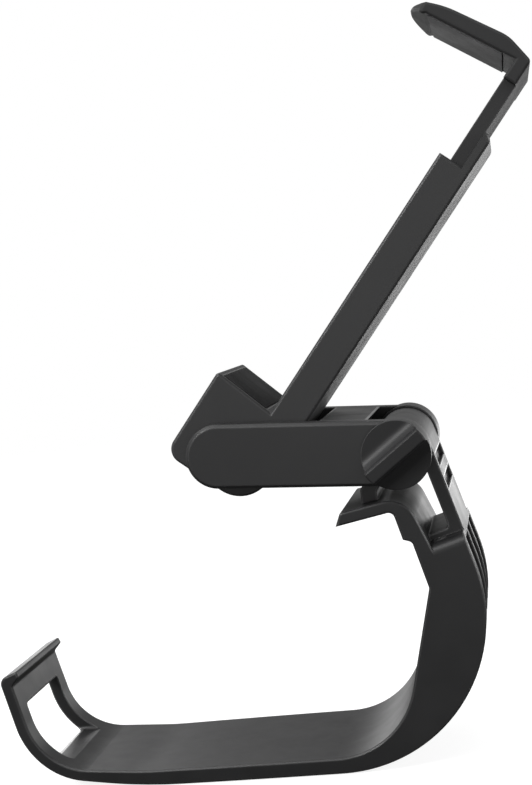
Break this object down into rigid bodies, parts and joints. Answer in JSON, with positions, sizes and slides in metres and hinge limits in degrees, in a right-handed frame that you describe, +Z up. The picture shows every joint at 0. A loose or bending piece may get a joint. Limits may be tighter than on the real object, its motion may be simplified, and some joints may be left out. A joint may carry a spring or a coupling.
{
  "type": "controller phone clip",
  "caption": "Clip that hooks around a game controller and carries a phone between a ledge and a sliding jaw, on a short arm with a friction hinge at each end.",
  "frame": {"origin": "middle of the cradle's flat seat floor, where the controller's underside rests, halfway across its width", "axes": "+Z up out of the seat, +X from the front lip to the spine, +Y across the clip; the knob is on the -Y side"},
  "size_m": [0.1184, 0.0462, 0.1471],
  "materials": {
    "black_plastic": "fine moulded texture, semi-matt",
    "knob_plastic": "moulded, slightly glossy",
    "pad_rubber": "soft, matt",
    "steel": "plain steel hardware"
  },
  "bodies": {
    "cradle": {"cradle": "black_plastic", "lower_friction_washers": "steel"},
    "arm": {"arm_frame": "black_plastic", "arm_side_plate": "black_plastic", "arm_screws": "steel", "upper_hinge_bolt": "steel", "upper_hinge_nut": "steel", "lower_hinge_nut": "steel"},
    "knob": {"knob": "knob_plastic", "knob_stud": "steel", "knob_washer": "steel"},
    "holder": {"holder_body": "black_plastic", "holder_back_cover": "black_plastic", "cover_screws": "steel", "ledge_pad": "pad_rubber", "face_pad": "pad_rubber", "detent_spring": "steel", "upper_friction_washers": "steel"},
    "jaw": {"jaw_slider": "black_plastic", "jaw_pad": "pad_rubber"}
  },
  "joints": [
    {"name": "arm_tilt", "type": "hinge", "parent": "cradle", "child": "arm", "pos_m": [0.032, 0, 0.0587], "axis": [0, 1, 0], "range_deg": [-18, 135]},
    {"name": "holder_tilt", "type": "hinge", "parent": "arm", "child": "holder", "pos_m": [-0.00279, 0, 0.0615], "axis": [0, -1, 0], "range_deg": [-6, 130]},
    {"name": "jaw_slide", "type": "slide", "parent": "holder", "child": "jaw", "axis": [0.6388, 0, 0.7694], "range_m": [-0.018, 0.004]},
    {"name": "knob_turn", "type": "hinge", "parent": "arm", "child": "knob", "pos_m": [0.032, -0.02, 0.0587], "axis": [0, -1, 0], "range_deg": [0, 360]}
  ]
}
